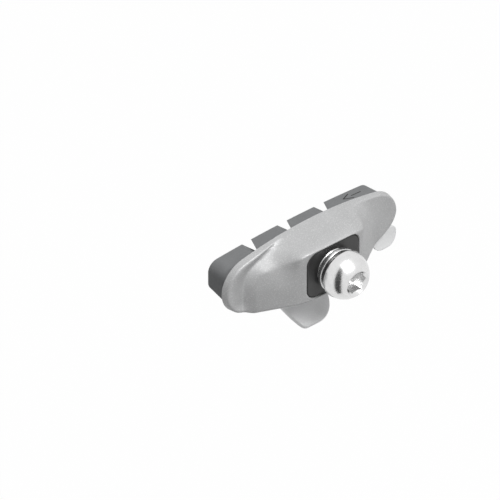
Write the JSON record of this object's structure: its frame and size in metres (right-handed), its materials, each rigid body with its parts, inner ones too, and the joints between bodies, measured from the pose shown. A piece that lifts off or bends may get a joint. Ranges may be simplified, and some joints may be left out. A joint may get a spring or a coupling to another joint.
{
  "type": "bicycle rim brake pad",
  "caption": "Road rim brake pad: curved grooved rubber block on a cast holder with a flared wheel guide, held to the brake arm by a domed hex socket bolt and tilting washers.",
  "frame": {"origin": "on the fixing bolt's axis, in the plane of the seat block's outer face, where the brake arm's washers bear", "axes": "+X along the pad towards its leading end, -Y outwards along the bolt's axis towards its head, +Z away from the wheel's hub"},
  "size_m": [0.053, 0.0251, 0.0264],
  "materials": {
    "rubber": "matte moulded rubber, fine grain",
    "silver_casting": "satin silver paint with a fine grain",
    "black_nylon": "semi-gloss black",
    "plain_steel": "plain",
    "bright_steel": "polished",
    "dark_steel": "dark"
  },
  "bodies": {
    "root": {"brake_block": "rubber", "holder": "silver_casting", "seat_block": "black_nylon", "clamp_nut": "plain_steel", "seat_washer": "bright_steel", "cup_washer": "bright_steel", "spacer_washer": "dark_steel", "fixing_bolt": "bright_steel"}
  },
  "joints": []
}
